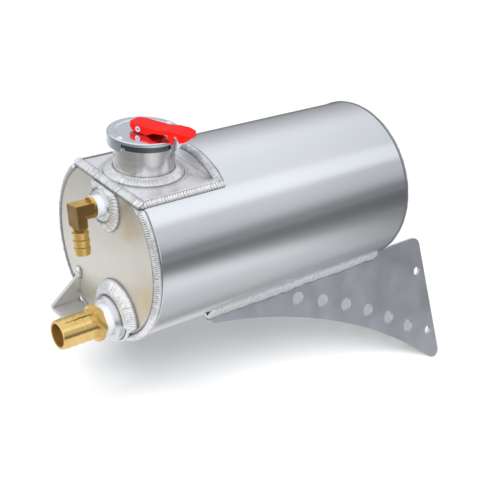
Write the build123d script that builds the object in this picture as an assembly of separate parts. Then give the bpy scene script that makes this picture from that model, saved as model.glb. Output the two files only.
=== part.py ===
from build123d import *
import os
from math import acos, asin, cos, degrees, radians, sin, sqrt, tan

os.makedirs("parts", exist_ok=True)

# Welded aluminium coolant overflow tank with a bayonet pressure cap.
# The tank's own frame is used throughout: x runs along the tank axis from the front
# plate to the back, y points to the far side and z points up along the filler neck.
# Finished pieces are moved so that the origin lies in the bracket's upper bolt hole.
# All sizes are in millimetres and all angles in degrees.

# Tank
tank_od = 152.4
tank_length = 279.4
shell_wall = 3.2
end_plate_t = 3.2
rim_bead_on_face = 5.2
rim_bead_on_shell = 6.6
rear_bead_leg = 4.0
bead_bulge = 4.4
rear_bead_bulge = 2.6

# Recess for the filler
recess_length = 78.0
recess_depth = 14.0
pan_t = 3.2
recess_wall_t = 3.2
pan_bead_on_face = 4.2
pan_bead_on_pan = 7.0
pan_bead_bulge = 3.4
pan_width = 91.2
side_bead_bulge = 2.0

# Filler neck
neck_x = 38.7
neck_y = 3.0
neck_od = 49.6
neck_wall = 2.4
neck_height = 31.3
flange_od = 56.0
flange_t = 1.6
cam_wall = 1.8
cam_depth = 4.9
seat_depth = 19.0
seat_t = 1.6
seat_bore = 32.0
neck_weld_toe = 33.5
neck_weld_leg = 4.6

# Bayonet
cap_turn_angle = 70.0
cap_rise = 2.4
hook_angle = 30.0
hook_centre = -62.0
notch_spare = 2.0
cam_gap = 0.3

# Cap shell
cap_od = 60.0
cap_sheet = 1.2
cap_rim_drop = 2.9
ear_angle = 100.0
ear_centre = -30.0
hook_t = 1.3
rim_round = 1.0
ear_corner_round = 3.0
bump_angle = 10.0
bump_reach = 26.3
bump_od = 5.6
bump_height = 1.6
dish_od = 46.0
dish_depth = 0.4

# Cap seals and pressure valve
swivel_od = 8.8
swivel_gap = 0.05
swivel_head_od = 12.0
swivel_head_t = 0.45
bell_od = 35.0
bell_wall = 1.2
bell_depth = 11.0
gasket_t = 1.2
gasket_gap = 1.8
diaphragm_t = 0.3
valve_clearance = 1.9
valve_t = 1.2
valve_gasket_t = 1.6
seal_gap = 0.1
spring_wire = 1.8
spring_coil_od = 27.0
spring_turns = 3.25
stem_od = 6.0
stem_gap = 0.06
valve_lift = 2.2

# Vacuum valve
vacuum_cup_od = 10.0
vacuum_cup_wall = 1.3
vacuum_cup_height = 8.0
vacuum_disc_od = 14.0
vacuum_disc_t = 1.2
vacuum_stem_od = 2.4
vacuum_head_od = 5.6
vacuum_head_t = 0.8
vacuum_travel = 1.2
vacuum_port_od = 2.4
vacuum_wire = 0.5

# Lever
lever_heading = -69.0
lever_width = 17.0
lever_back = 12.5
lever_tip = 46.5
lever_wall = 1.6
lever_depth = 6.4
lever_tip_rise = 2.4
lever_foot_gap = 0.4
lever_heel = 4.5
lever_heel_front = 8.7
lever_heel_rise = 3.4
lever_window_x = 14.0
lever_window_rise = 2.7
lever_window_top = 4.6
lever_leg_t = 4.9
lever_leg_outside = 2.7
lever_claw_drop = 2.0
lever_notch = 3.0
lever_notch_top = 5.3
lever_tip_drop = 3.6
lever_dip_x = 18.5
lever_nose = 10.5
lever_bend_round = 7.0
lever_corner_round = 0.5
lever_angle = 25.0
pin_height = 6.8
pin_od = 2.6
pin_bore = 1.5
pin_head_od = 4.6
pin_head_t = 0.7
pin_gap = 0.06
eye_od = 4.9
eye_width = 8.0

# Upper bung and elbow
upper_bung_depth = 34.0
upper_bung_od = 27.6
upper_bung_out = 5.2
upper_toe = 23.4
upper_bead_leg = 3.4
upper_thread_od = 17.1
elbow_tilt = 11.3
elbow_width = 15.6
elbow_arm_down = 7.6
elbow_arm_up = 5.7
elbow_leg_t = 10.6
elbow_corner_x = -28.9
elbow_leg_down = 13.2
elbow_end_od = 16.6
elbow_end_x = -10.6
elbow_round = 5.2
elbow_bore = 9.6
small_barb_od = 13.8
small_barb_root = 12.2
small_barb_length = 22.8
barbed_share = 0.83
barb_chamfer = 0.4

# Lower bung and straight fitting
lower_bung_inset = 21.3
lower_bung_angle = 247.1
lower_bung_od = 38.6
lower_bung_out = 12.5
lower_spigot_od = 31.0
lower_toe = 32.0
lower_bead_leg = 8.0
lower_bead_inset = 1.5
lower_thread_od = 26.4
hex_across_flats = 27.0
hex_turn = 82.3
hex_front_x = -24.9
hex_back_x = -18.2
large_barb_od = 25.4
large_barb_root = 24.2
large_barb_tail = 25.0
hex_chamfer = 0.8
large_barb_mouth_x = -55.6
large_bore = 18.8
bung_reach_inside = 8.0
tape_t = 0.7

# Front tab
tab_t = 3.2
tab_y_share = 0.534
tab_width = 32.0
tab_reach = 27.0
tab_height = 8.2
tab_rise = 26.0
tab_hole_od = 6.6
tab_hole_ahead = 12.0
tab_hole_inset = 7.1
tab_bead_start = 12.0
tab_bead_past = 2.0
tab_bead_on_tab = 4.0
tab_bead_on_plate = 4.5

# Rear bracket
bracket_t = 3.2
bracket_tilt = 18.3
bracket_root_angle = 232.0
bracket_front_x = 72.0
bracket_back_x = 339.6
bracket_back_slope = 0.118
bracket_arc_x = -9.3
bracket_arc_s = 554.1
bracket_arc_r = 550.3
bracket_hole_arc_r = 567.5
bracket_nose_round = 6.0
bracket_top_round = 9.0
bracket_low_round = 7.0
light_hole_od = 12.7
light_hole_count = 6
light_hole_start = 18.88
light_hole_step = 3.158
bolt_hole_od = 8.9
upper_bolt = (333.4, 34.9)
lower_bolt = (341.8, 101.3)
bracket_weld_on_plate = 9.2
bracket_weld_on_shell = 8.0
bracket_weld_far = 5.0

# Places worked out from the sizes
tank_r = tank_od / 2
bore_r = tank_r - shell_wall
recess_floor = tank_r - recess_depth
pan_bottom = recess_floor - pan_t
neck_r = neck_od / 2
neck_bore_r = neck_r - neck_wall
flange_top = recess_floor + neck_height
flange_r = flange_od / 2
cam_edge_z = flange_top - cam_depth
seat_z = flange_top - seat_depth
valve_r = neck_bore_r - valve_clearance
cap_r = cap_od / 2
gasket_r = cap_r - cap_sheet - gasket_gap
cap_under = flange_top + gasket_t + diaphragm_t + 2 * seal_gap + dish_depth
cap_top = cap_under + cap_sheet
pin_z = flange_top + pin_height
upper_bore_r = upper_thread_od / 2 + 0.03
lower_bore_r = lower_thread_od / 2 + 0.03
upper_z = tank_r - upper_bung_depth
lower_y = (tank_r - lower_bung_inset) * cos(radians(lower_bung_angle))
lower_z = (tank_r - lower_bung_inset) * sin(radians(lower_bung_angle))
tab_y = tab_y_share * tank_r
tab_top_z = tab_height - tank_r
tilt = radians(bracket_tilt)
root_y = tank_r * cos(radians(bracket_root_angle))
root_z = tank_r * sin(radians(bracket_root_angle))


def on_bracket(x, s):
    """Point of the bracket's outer face, s being the distance down from the tank."""
    return Vector(x, root_y - s * sin(tilt), root_z - s * cos(tilt))


def rod_x(radius, x0, x1, y=0.0, z=0.0):
    """Cylinder along x."""
    bar = Cylinder(radius, x1 - x0, align=(Align.CENTER, Align.CENTER, Align.MIN))
    return Pos(x0, y, z) * Rot(0, 90, 0) * bar


def rod_z(radius, z0, z1, x=0.0, y=0.0):
    """Cylinder along z."""
    bar = Cylinder(radius, z1 - z0, align=(Align.CENTER, Align.CENTER, Align.MIN))
    return Pos(x, y, z0) * bar


def block(x0, x1, y0, y1, z0, z1):
    """Box between two corners."""
    size = (x1 - x0, y1 - y0, z1 - z0)
    return Pos((x0 + x1) / 2, (y0 + y1) / 2, (z0 + z1) / 2) * Box(*size)


def turned_x(points, y=0.0, z=0.0):
    """Solid turned about an axis along x from (x, radius) points."""
    face = make_face(Polyline(*points, close=True))
    return Pos(0, y, z) * revolve(face, Axis.X)


def turned_z(points, x=0.0, y=0.0):
    """Solid turned about an axis along z from (radius, z) points."""
    face = make_face(Plane.XZ * Polyline(*points, close=True))
    return Pos(x, y, 0) * revolve(face, Axis.Z)


def bulged(start, end, bulge):
    """Face between a straight root and an arc that stands out to its left."""
    chord = Vector(*end) - Vector(*start)
    out = Vector(-chord.Y, chord.X).normalized() * bulge
    middle = (Vector(*start) + Vector(*end)) * 0.5 + out
    return make_face(Line(start, end) + ThreePointArc(start, (middle.X, middle.Y), end))


def sector(radius, start, sweep, z0, z1):
    """Wedge of a cylinder about z, from one azimuth through a sweep."""
    arc = CenterArc((0, 0), radius, start, sweep)
    face = make_face(Line((0, 0), arc @ 0) + arc + Line(arc @ 1, (0, 0)))
    return extrude(Pos(0, 0, z0) * face, z1 - z0)


def melted(start, end):
    """Corner of the parent metal that a bead on this root has melted away."""
    chord = Vector(*end) - Vector(*start)
    out = Vector(-chord.Y, chord.X).normalized() * 9
    return make_face(Polyline(start, end, (end[0] + out.X, end[1] + out.Y),
                              (start[0] + out.X, start[1] + out.Y), close=True))


def corner_bead(face_x):
    """Bead and melted corner between a plate's face at face_x and the shell."""
    root = ((face_x, tank_r - rim_bead_on_face), (face_x + rim_bead_on_shell, tank_r))
    return revolve(bulged(*root, bead_bulge), Axis.X), revolve(melted(*root), Axis.X)


def rear_corner_bead():
    """The slimmer bead and melted corner at the back end."""
    root = ((tank_length - rear_bead_leg, tank_r), (tank_length, tank_r - rear_bead_leg))
    return revolve(bulged(*root, rear_bead_bulge), Axis.X), revolve(melted(*root), Axis.X)


def recess_space():
    """Everything above the pan and in front of the recess wall."""
    far = tank_od
    return block(-far, recess_length, -far, far, pan_bottom, far)


def pan_beads():
    """Beads along the pan's front edge and its two sides, and the edges they melt."""
    low_z = recess_floor - pan_bead_on_face
    shell_y = sqrt(tank_r ** 2 - low_z ** 2)
    front_root = ((0, low_z), (pan_bead_on_pan, recess_floor))
    side_root = ((-shell_y, low_z), (-pan_width / 2, recess_floor))
    made = []
    for section, half in ((bulged, shell_y + 0.4), (melted, tank_r)):
        bulges = (pan_bead_bulge, side_bead_bulge) if section is bulged else (None, None)
        front, side = [
            section(*root) if bulge is None else section(*root, bulge)
            for root, bulge in zip((front_root, side_root), bulges)]
        ahead = extrude(Pos(0, half, 0) * (Plane.XZ * front), 2 * half)
        along = extrude(Plane.YZ * side, recess_length)
        made.append(ahead + along + mirror(along, Plane.XZ))
    return made


def helical_ramp(start):
    """Cutter whose upper face climbs like the bayonet cam, starting at an azimuth."""
    climb = cap_rise / cap_turn_angle
    mid_r = flange_r - cam_wall / 2
    sweep_angle = cap_turn_angle - notch_spare
    path = Helix(pitch=climb * 360, height=climb * sweep_angle, radius=mid_r)
    at_start = Plane(origin=path @ 0, x_dir=(1, 0, 0), z_dir=path % 0)
    section = at_start * Pos(0, cam_depth / 2) * Rectangle(2 * cam_wall, cam_depth)
    ramp = sweep(section, path, is_frenet=True)
    return Pos(0, 0, cam_edge_z) * Rot(0, 0, start) * ramp


def neck_profile():
    """Tube, seat and flange with its turned-down cam skirt, in one section."""
    cam_r = flange_r - cam_wall
    seat_r = seat_bore / 2
    return [(neck_bore_r, pan_bottom), (neck_r, pan_bottom), (neck_r, flange_top - flange_t),
            (cam_r, flange_top - flange_t), (cam_r, cam_edge_z), (flange_r, cam_edge_z),
            (flange_r, flange_top), (neck_bore_r, flange_top), (neck_bore_r, seat_z),
            (seat_r, seat_z), (seat_r, seat_z - seat_t), (neck_bore_r, seat_z - seat_t)]


def make_filler_neck():
    """Neck with two climbing cams and two notches that let the cap lift off."""
    neck = turned_z(neck_profile())
    ramp_start = hook_centre - hook_angle / 2
    notch_start = ramp_start + cap_turn_angle - notch_spare
    notch_sweep = hook_angle + 2 * notch_spare
    notch = sector(cap_r, notch_start, notch_sweep, cam_edge_z - 1, flange_top + 1)
    notch -= rod_z(neck_r + 0.4, cam_edge_z - 2, flange_top + 2)
    for half_turn in (0, 180):
        neck -= helical_ramp(ramp_start + half_turn)
        neck -= Rot(0, 0, half_turn) * notch
    return Pos(neck_x, neck_y, 0) * neck


def make_cap_shell():
    """Pressed cap with a rolled rim, two grip ears and a hook under each ear."""
    inner_r = cap_r - cap_sheet
    rim_z = cap_top - cap_rim_drop
    dish_r = dish_od / 2
    hole_r = swivel_od / 2 + swivel_gap
    top = turned_z([(hole_r, cap_under - dish_depth), (dish_r, cap_under - dish_depth),
                    (dish_r + 1.2, cap_under), (inner_r, cap_under), (inner_r, rim_z),
                    (cap_r, rim_z), (cap_r, cap_top), (dish_r + 1.0, cap_top),
                    (dish_r - 0.2, cap_top - dish_depth), (hole_r, cap_top - dish_depth)])
    rim_edges = top.edges().filter_by(GeomType.CIRCLE).filter_by(
        lambda e: abs(e.radius - cap_r) < 0.01 and abs(e.center().Z - cap_top) < 0.01)
    top = fillet(rim_edges, rim_round)
    hook_top = cam_edge_z - cam_gap
    ear_bottom = hook_top - hook_t
    skirt = rod_z(cap_r, ear_bottom, rim_z) - rod_z(inner_r, ear_bottom, rim_z)
    hook = rod_z(cap_r, ear_bottom, hook_top) - rod_z(neck_r + 0.8, ear_bottom, hook_top)
    bump_r = (bump_height ** 2 + bump_od ** 2 / 4) / (2 * bump_height)
    bump = Pos(bump_reach, 0, cap_top + bump_height - bump_r) * Sphere(bump_r)
    bump &= rod_z(cap_r, cap_under, cap_top + bump_height)
    shell = top
    for half_turn in (0, 180):
        shell += Rot(0, 0, bump_angle + half_turn) * bump
        ear = sector(cap_r + 1, ear_centre - ear_angle / 2 + half_turn, ear_angle,
                     ear_bottom - 1, rim_z)
        lip = sector(cap_r + 1, hook_centre - hook_angle / 2 + half_turn, hook_angle,
                     ear_bottom - 1, rim_z)
        tab = skirt & ear
        ends = tab.edges().filter_by(GeomType.LINE).group_by(Axis.Z)[0]
        shell += fillet(ends, ear_corner_round)
        shell += hook & lip
    return Pos(neck_x, neck_y, 0) * shell


def make_swivel_bell():
    """Spring cup that hangs in the shell on a flared swivel tube."""
    tube_r = swivel_od / 2
    stem_r = stem_od / 2 + stem_gap
    top_plate = cap_under - dish_depth - swivel_gap
    head_z = cap_top - dish_depth + swivel_gap
    head_r = swivel_head_od / 2
    bell_r = bell_od / 2
    roof = top_plate - bell_wall
    rim = roof - bell_depth
    return turned_z([(stem_r, roof), (stem_r, head_z + swivel_head_t),
                     (head_r, head_z + swivel_head_t), (head_r, head_z), (tube_r, head_z),
                     (tube_r, top_plate), (bell_r, top_plate), (bell_r, rim),
                     (bell_r - bell_wall, rim), (bell_r - bell_wall, roof)], neck_x, neck_y)


def ring_z(outer_r, inner_r, z0, z1):
    """Flat ring on the neck's axis."""
    return turned_z([(inner_r, z0), (outer_r, z0), (outer_r, z1), (inner_r, z1)],
                    neck_x, neck_y)


def coil(wire, coil_od, turns, z0, z1):
    """Round-wire compression spring on the neck's axis."""
    radius = (coil_od - wire) / 2
    height = z1 - z0 - wire
    path = Helix(pitch=height / turns, height=height, radius=radius)
    section = Plane(origin=path @ 0, z_dir=path % 0) * Circle(wire / 2)
    return Pos(neck_x, neck_y, z0 + wire / 2) * sweep(section, path, is_frenet=True)


def lever_place():
    """Lever frame: x towards the thumb end, z up, origin on the neck's axis."""
    return Pos(neck_x, neck_y, 0) * Rot(0, 0, lever_heading)


def lever_side():
    """Side outline of the lever: cam heel, window, claw over the rim, notch and tip."""
    foot = cap_top + lever_foot_gap
    top = foot + lever_depth
    hump = top + lever_tip_rise
    notch = foot + lever_notch_top
    leg_back = cap_r + lever_leg_outside
    leg_front = leg_back - lever_leg_t
    claw_x = cap_r + lever_foot_gap
    back = -lever_back
    corners = [
        (-lever_heel, foot), (lever_heel_front, foot),
        (lever_window_x, foot + lever_window_rise), (leg_front, foot + lever_window_top),
        (leg_front, foot + 0.4), (claw_x, foot + 0.4), (claw_x, foot - lever_claw_drop),
        (leg_back, foot - lever_claw_drop), (leg_back, notch), (leg_back + lever_notch, notch),
        (leg_back + lever_notch + 2.6, foot + 0.5), (lever_tip - lever_tip_drop, foot + 2.2),
        (lever_tip, foot + 6.2), (lever_tip - 3, top + 1.2), (leg_back + 4, hump),
        (leg_front, hump - 0.4), (lever_dip_x, top), (back + 1.6, top - 0.3),
        (back, top - 2.0), (back, foot + lever_heel_rise)]
    face = make_face(Plane.XZ * Polyline(*corners, close=True))
    def on_top(v):
        return v.Z > top - 0.1 and 0 < v.X < lever_tip - 1

    face = fillet(face.vertices().filter_by(on_top), lever_bend_round)
    sharp = face.vertices().filter_by(lambda v: v.Z < top - 0.1 or v.X < 0)
    return fillet(sharp, lever_corner_round)


def lever_plan(inset):
    """Plan outline: round at the back, straight sides, a broad round thumb end."""
    half = lever_width / 2 - inset
    back = -lever_back + inset + half
    tip = lever_tip - inset
    nose_start = lever_tip - lever_nose
    sides = Line((back, -half), (nose_start, -half)) + Line((nose_start, half), (back, half))
    nose = Spline((nose_start, -half), (tip - 2.0, -half * 0.55), (tip, 0),
                  (tip - 2.0, half * 0.55), (nose_start, half), tangents=((1, 0), (-1, 0)))
    tail = ThreePointArc((back, half), (-lever_back + inset, 0), (back, -half))
    return make_face(sides + nose + tail)


def make_lever():
    """Red lever: a channel open below, with a cam heel and a foot on the rim."""
    width = lever_width
    low = cap_top - 2
    high = cap_top + 3 * lever_depth
    body = extrude(Pos(0, width, 0) * lever_side(), 2 * width)
    outer = extrude(Pos(0, 0, low) * lever_plan(0), high - low)
    inner = extrude(Pos(0, 0, low) * lever_plan(lever_wall), high - low)
    lowered = Pos(0, 0, -lever_wall) * extrude(Pos(0, width, 0) * lever_side(), 2 * width)
    under = block(-width, lever_tip, -width, width, low, pin_z)
    lever = (body & outer) - (inner & (lowered + under))
    across = Pos(0, 0, pin_z) * Rot(90, 0, 0)
    lever -= across * Cylinder(pin_od / 2 + pin_gap, 2 * width)
    lever -= across * Cylinder(eye_od / 2 + 0.25, width - 2 * lever_wall)
    return lever_place() * lever


def make_lever_pin():
    """Hollow pin through both cheeks and the stem's eye, headed at each end."""
    outside = lever_width / 2 + 0.1
    pin = Cylinder(pin_od / 2, 2 * (outside + pin_head_t))
    for side in (-1, 1):
        pin += Pos(0, 0, side * (outside + pin_head_t / 2)) * Cylinder(
            pin_head_od / 2, pin_head_t)
    pin -= Cylinder(pin_bore / 2, lever_width * 2)
    return lever_place() * Pos(0, 0, pin_z) * Rot(90, 0, 0) * pin


def make_valve_stem(valve_top):
    """Stem from the lever's eye to the hollow cup that stands on the valve plate."""
    eye = Rot(90, 0, 0) * Cylinder(eye_od / 2, eye_width)
    cup_top = valve_top + vacuum_cup_height
    cup_r = vacuum_cup_od / 2
    stem_r = stem_od / 2
    shank = turned_z([(0, cup_top - vacuum_cup_wall), (cup_r - vacuum_cup_wall,
                      cup_top - vacuum_cup_wall), (cup_r - vacuum_cup_wall, valve_top),
                      (cup_r, valve_top), (cup_r, cup_top), (stem_r, cup_top + 1.5),
                      (stem_r, pin_z), (0, pin_z)])
    stem = lever_place() * (shank + Pos(0, 0, pin_z) * eye)
    pin_hole = Pos(0, 0, pin_z) * Rot(90, 0, 0) * Cylinder(pin_od / 2, eye_width * 2)
    return stem - lever_place() * pin_hole


def make_pressure_valve(bottom):
    """Valve plate with ports for the vacuum valve."""
    hole_r = vacuum_stem_od / 2 + swivel_gap
    plate = turned_z([(hole_r, bottom), (valve_r, bottom), (valve_r, bottom + valve_t),
                      (hole_r, bottom + valve_t)])
    for turn in range(0, 360, 90):
        plate -= Rot(0, 0, turn) * rod_z(vacuum_port_od / 2, bottom - 1, bottom + 3, 3.4, 0)
    return Pos(neck_x, neck_y, 0) * plate


def make_vacuum_valve(plate_bottom, plate_top):
    """Small disc under the plate, on a headed stem that rises inside the cup."""
    disc_r = vacuum_disc_od / 2
    stem_r = vacuum_stem_od / 2
    head_r = vacuum_head_od / 2
    head_z = plate_top + vacuum_cup_height - vacuum_cup_wall - vacuum_head_t - 0.4
    top = plate_bottom - seal_gap
    return turned_z([(0, top - vacuum_disc_t), (disc_r, top - vacuum_disc_t), (disc_r, top),
                     (stem_r, top), (stem_r, head_z), (head_r, head_z),
                     (head_r, head_z + vacuum_head_t), (0, head_z + vacuum_head_t)],
                    neck_x, neck_y)


def make_upper_bung():
    """Weld-in bung of the elbow: chamfered mouth, spigot through the front plate."""
    r = upper_bung_od / 2
    return turned_x([(-upper_bung_out, upper_bore_r), (-upper_bung_out, r - 1.6),
                     (-upper_bung_out + 1.6, r), (bung_reach_inside, r),
                     (bung_reach_inside, upper_bore_r)], 0, upper_z)


def make_lower_bung():
    """Larger bung: a thick collar outside the plate and a smaller spigot through it."""
    r = lower_bung_od / 2
    spigot = lower_spigot_od / 2
    return turned_x([(-lower_bung_out, lower_bore_r), (-lower_bung_out, r - 2.4),
                     (-lower_bung_out + 2.4, r), (0, r), (0, spigot),
                     (bung_reach_inside, spigot), (bung_reach_inside, lower_bore_r)],
                    lower_y, lower_z)


def barb_profile(mouth, tail, od, root_od, tail_od, bore, rings):
    """(distance, radius) points of a hose barb whose rings ramp up away from the mouth."""
    crest, root = od / 2, root_od / 2
    pitch = (tail - mouth) * barbed_share / rings
    points = [(mouth, bore / 2), (mouth, root - barb_chamfer)]
    for ring in range(rings):
        start = mouth + ring * pitch
        ramp = start + 0.15 * pitch if ring else mouth + barb_chamfer
        points += [(ramp, root), (start + pitch, crest), (start + pitch, root)]
    return points[:-1] + [(points[-1][0], tail_od / 2), (tail, tail_od / 2), (tail, bore / 2)]


def make_barb_fitting():
    """Straight brass hose barb with a hexagon and a taper-thread shank."""
    barb = turned_x(barb_profile(large_barb_mouth_x, hex_front_x, large_barb_od, large_barb_root,
                                 large_barb_tail, large_bore, 4), lower_y, lower_z)
    flats = extrude(Plane.YZ * RegularPolygon(hex_across_flats / 2, 6, major_radius=False),
                    hex_back_x - hex_front_x)
    flats = Pos(hex_front_x, lower_y, lower_z) * Rot(hex_turn - 30, 0, 0) * flats
    corner = hex_across_flats / sqrt(3)
    mid_x = (hex_front_x + hex_back_x) / 2
    flats &= turned_x([(hex_front_x, 0), (hex_front_x, corner - hex_chamfer),
                       (hex_front_x + hex_chamfer, corner), (hex_back_x - hex_chamfer, corner),
                       (hex_back_x, corner - hex_chamfer), (hex_back_x, 0)], lower_y, lower_z)
    shank = rod_x(lower_thread_od / 2, mid_x, bung_reach_inside - 3, lower_y, lower_z)
    bore = rod_x(large_bore / 2, large_barb_mouth_x - 1, bung_reach_inside, lower_y, lower_z)
    return barb + flats + shank - bore


def make_elbow():
    """Brass elbow: flat outside, round inside, with a hose barb pointing down."""
    half = elbow_width / 2
    arm = block(elbow_corner_x, elbow_end_x - 2, -half, half, -elbow_arm_down, elbow_arm_up)
    arm = fillet(arm.edges().filter_by(Axis.X).group_by(Axis.Z)[0], elbow_round)
    leg_back = elbow_corner_x + elbow_leg_t
    leg = block(elbow_corner_x, leg_back, -half, half, -elbow_leg_down, elbow_arm_up)
    leg = fillet(leg.edges().filter_by(Axis.Z).group_by(Axis.X)[-1], elbow_round)
    leg_x = elbow_corner_x + elbow_leg_t / 2
    end = rod_x(elbow_end_od / 2, elbow_end_x - 3, elbow_end_x)
    shank = rod_x(upper_thread_od / 2, elbow_end_x - 3, bung_reach_inside - 3)
    foot = -elbow_leg_down
    tip = foot - small_barb_length
    barb = turned_z([(r, z) for z, r in barb_profile(tip, foot, small_barb_od,
                                                     small_barb_root, small_barb_root,
                                                     elbow_bore / 2, 3)])
    barb += rod_z(small_barb_root / 2 - 0.5, tip + 1, foot)
    body = arm + leg + end + shank + Pos(leg_x, 0, 0) * barb
    body -= rod_z(elbow_bore / 2, tip - 1, 0, leg_x, 0)
    body -= rod_x(elbow_bore / 2, leg_x, bung_reach_inside)
    body -= Pos(leg_x, 0, 0) * Sphere(elbow_bore / 2)
    return Pos(0, 0, upper_z) * Rot(-elbow_tilt, 0, 0) * body


def fillet_ring(toe, r, leg, y, z):
    """Fillet weld round a bung on the front plate."""
    hollow = 0.35 * leg
    middle = (toe + r) / 2
    return turned_x([(0, r), (0, toe), (-0.5, toe - 0.2), (-leg / 2 + hollow * 0.2, middle),
                     (-leg, r + 0.8), (-leg, r)], y, z)


def make_front_tab():
    """Folded tab: a flat flange with a bolt hole, and a triangular gusset."""
    near_y = tab_y + tab_t - tab_width
    flange = block(-tab_reach, 0, near_y, tab_y + tab_t, tab_top_z - tab_t, tab_top_z)
    side = Polyline((0, tab_top_z - tab_t), (0, tab_top_z + tab_rise),
                    (-tab_reach, tab_top_z + 1.5), (-tab_reach, tab_top_z - tab_t), close=True)
    gusset = extrude(Pos(0, tab_y + tab_t, 0) * make_face(Plane.XZ * side), tab_t)
    tab = flange + gusset
    bend = tab.edges().filter_by(Axis.X).sort_by(
        lambda e: (e.center().Z - (tab_top_z - tab_t)) ** 2 + (e.center().Y - tab_y - tab_t) ** 2)
    tab = fillet(bend[0], tab_t * 0.9)
    return tab - rod_z(tab_hole_od / 2, tab_top_z - 2 * tab_t, tab_top_z + tab_t,
                       -tab_hole_ahead, near_y + tab_hole_inset)


def bracket_arc_at(x):
    """Distance down to the bracket's curved lower edge."""
    return bracket_arc_s - sqrt(bracket_arc_r ** 2 - (x - bracket_arc_x) ** 2)


def make_bracket():
    """Tilted flat bracket with lightening holes along its curved edge."""
    corner_x = bracket_back_x
    for _ in range(20):
        corner_x = bracket_back_x + bracket_back_slope * bracket_arc_at(corner_x)
    nose_x = bracket_front_x + 4.0
    mid_x = (nose_x + corner_x) / 2
    nose = (nose_x, bracket_arc_at(nose_x))
    corner = (corner_x, bracket_arc_at(corner_x))
    face = make_face(
        Line((bracket_front_x, 0), (bracket_back_x, 0)) + Line((bracket_back_x, 0), corner)
        + ThreePointArc(corner, (mid_x, bracket_arc_at(mid_x)), nose)
        + Line(nose, (bracket_front_x, 0)))

    def at(x, s):
        return min(face.vertices(), key=lambda v: (v.X - x) ** 2 + (v.Y - s) ** 2)

    face = fillet(at(*corner), bracket_low_round)
    face = fillet(at(bracket_back_x, 0), bracket_top_round)
    face = fillet(at(*nose), bracket_nose_round)
    for count in range(light_hole_count):
        angle = radians(light_hole_start + count * light_hole_step)
        face -= Pos(bracket_arc_x + bracket_hole_arc_r * sin(angle),
                    bracket_arc_s - bracket_hole_arc_r * cos(angle)) * Circle(light_hole_od / 2)
    for bolt in (upper_bolt, lower_bolt):
        face -= Pos(*bolt) * Circle(bolt_hole_od / 2)
    down = Vector(0, -sin(tilt), -cos(tilt))
    outer = Plane(origin=(0, root_y, root_z), x_dir=(1, 0, 0),
                  z_dir=Vector(1, 0, 0).cross(down))
    return extrude(outer * face, bracket_t) - rod_x(tank_r, 0, tank_length)


def make_bracket_weld(bracket):
    """Fillets along both sides of the bracket's root."""
    start_x, end_x = bracket_front_x + 2.0, tank_length - rear_bead_leg - 0.5
    root = Vector(0, root_y, root_z)
    down = Vector(0, -sin(tilt), -cos(tilt))

    def shell_point(turn):
        angle = radians(bracket_root_angle + turn)
        return (tank_r * cos(angle), tank_r * sin(angle))

    def fillet_face(on_plate, on_shell, core):
        return make_face(Polyline(core, on_plate, ((on_plate[0] + on_shell[0]) * 0.5 + core[0] * 0,
                                                   (on_plate[1] + on_shell[1]) * 0.5), on_shell,
                                  close=True))

    near_turn = -degrees(bracket_weld_on_shell / tank_r)
    plate_point = root + down * bracket_weld_on_plate
    core = root - down * 1.0
    near = fillet_face((plate_point.Y, plate_point.Z), shell_point(near_turn), (core.Y, core.Z))
    behind = Vector(0, cos(tilt), -sin(tilt)) * bracket_t
    far_root = root + behind + down * bracket_t * 0.3
    far_point = far_root + down * bracket_weld_far
    far_core = far_root - down * 2.0
    far_turn = degrees((bracket_t + bracket_weld_far) / tank_r)
    far = fillet_face((far_point.Y, far_point.Z), shell_point(far_turn), (far_core.Y, far_core.Z))
    beads = Part()
    for section in (near, far):
        beads += extrude(Pos(start_x, 0, 0) * (Plane.YZ * section), end_x - start_x)
    return beads - rod_x(tank_r, 0, tank_length) - bracket


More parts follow.
